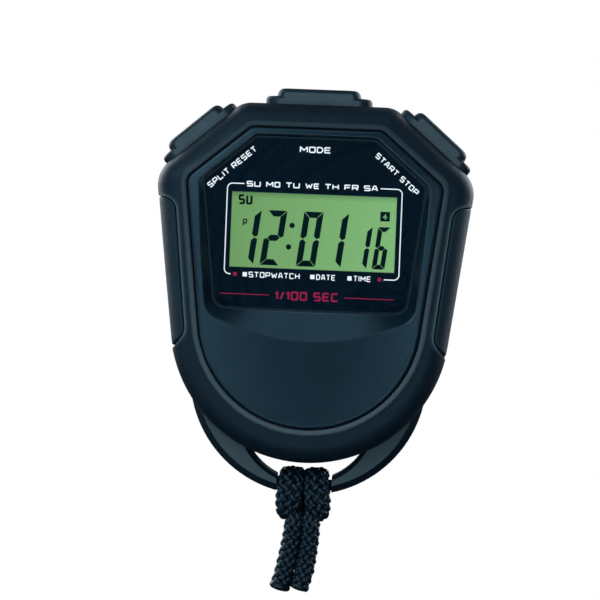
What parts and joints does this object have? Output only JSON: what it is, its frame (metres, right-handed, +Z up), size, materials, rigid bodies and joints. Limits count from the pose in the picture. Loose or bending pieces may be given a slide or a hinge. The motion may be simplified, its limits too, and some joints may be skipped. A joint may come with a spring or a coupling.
{
  "type": "digital stopwatch",
  "caption": "Handheld digital stopwatch: shield-shaped case with push buttons along the top, a recessed display window, side grips and a braided cord hitched to a loop below.",
  "frame": {"origin": "middle of the flat rear face, at mid height of the case's back", "axes": "+Z up towards the mode button, +X to the right as the display is read, -Y out of the display, so +Y points out of the rear face"},
  "size_m": [0.0628, 0.0201, 0.1007],
  "materials": {
    "case_plastic": "fine satin texture",
    "face_plastic": "smooth satin",
    "button_plastic": "satin",
    "grip_rubber": "matt, fine grain",
    "lens_clear": "polished",
    "mask_ink": "screen-printed behind the lens",
    "display_glass": "polished",
    "reflector_foil": "satin green-grey reflector",
    "frame_plastic": "moulded",
    "connector_rubber": "layered",
    "board_laminate": "solder mask",
    "cell_steel": "nickel-plated",
    "spring_steel": "rolled strip",
    "screw_steel": "zinc-plated",
    "chip_resin": "poured",
    "chip_ceramic": "fired",
    "buzzer_brass": "rolled",
    "buzzer_ceramic": "silvered",
    "cord_fabric": "round braid"
  },
  "bodies": {
    "case": {"battery": "cell_steel", "battery_clip": "spring_steel", "battery_negative_contact": "spring_steel", "board_screws": "screw_steel", "buzzer_ceramic": "buzzer_ceramic", "buzzer_disc": "buzzer_brass", "buzzer_spring": "spring_steel", "case_screws": "screw_steel", "chip_cover": "chip_resin", "chip_parts": "chip_ceramic", "circuit_board": "board_laminate", "contact_posts": "spring_steel", "face_plate": "face_plastic", "front_case": "case_plastic", "lcd_frame": "frame_plastic", "lcd_front_glass": "display_glass", "lcd_rear_glass": "display_glass", "lcd_reflector": "reflector_foil", "leaf_posts": "spring_steel", "left_grip": "grip_rubber", "lens": "lens_clear", "lens_mask": "mask_ink", "quartz_crystal": "cell_steel", "rear_cover": "case_plastic", "right_grip": "grip_rubber", "zebra_strips": "connector_rubber"},
    "mode_button": {"mode_button": "button_plastic"},
    "mode_leaf": {"mode_leaf": "spring_steel"},
    "start_stop_button": {"start_stop_button": "button_plastic"},
    "start_stop_leaf": {"start_stop_leaf": "spring_steel"},
    "split_reset_button": {"split_reset_button": "button_plastic"},
    "split_reset_leaf": {"split_reset_leaf": "spring_steel"},
    "cord": {"lanyard": "cord_fabric"}
  },
  "joints": [
    {"name": "mode_press", "type": "slide", "parent": "case", "child": "mode_button", "axis": [0, 0, -1], "range_m": [0, 0.0009], "stiffness_N_per_m": 800},
    {"name": "mode_leaf_flex", "type": "hinge", "parent": "case", "child": "mode_leaf", "pos_m": [-0.0065, -0.00805, 0.02655], "axis": [0, 1, 0], "range_deg": [0, 8.5]},
    {"name": "start_stop_press", "type": "slide", "parent": "case", "child": "start_stop_button", "axis": [-0.6547, 0, -0.7559], "range_m": [0, 0.0009], "stiffness_N_per_m": 800},
    {"name": "start_stop_leaf_flex", "type": "hinge", "parent": "case", "child": "start_stop_leaf", "pos_m": [0.0124, -0.00805, 0.02603], "axis": [0, 1, 0], "range_deg": [0, 8.5]},
    {"name": "split_reset_press", "type": "slide", "parent": "case", "child": "split_reset_button", "axis": [0.6547, 0, -0.7559], "range_m": [0, 0.0009], "stiffness_N_per_m": 800},
    {"name": "split_reset_leaf_flex", "type": "hinge", "parent": "case", "child": "split_reset_leaf", "pos_m": [-0.02223, -0.00805, 0.01751], "axis": [0, 1, 0], "range_deg": [0, 8.5]},
    {"name": "cord_swing", "type": "hinge", "parent": "case", "child": "cord", "pos_m": [0, -0.00775, -0.0404], "axis": [1, 0, 0], "range_deg": [-75, 75]}
  ],
  "couplings": [
    {"joint": "mode_leaf_flex", "follows": "mode_press", "rad_per_m": 153.85},
    {"joint": "start_stop_leaf_flex", "follows": "start_stop_press", "rad_per_m": 153.85},
    {"joint": "split_reset_leaf_flex", "follows": "split_reset_press", "rad_per_m": 153.85}
  ]
}
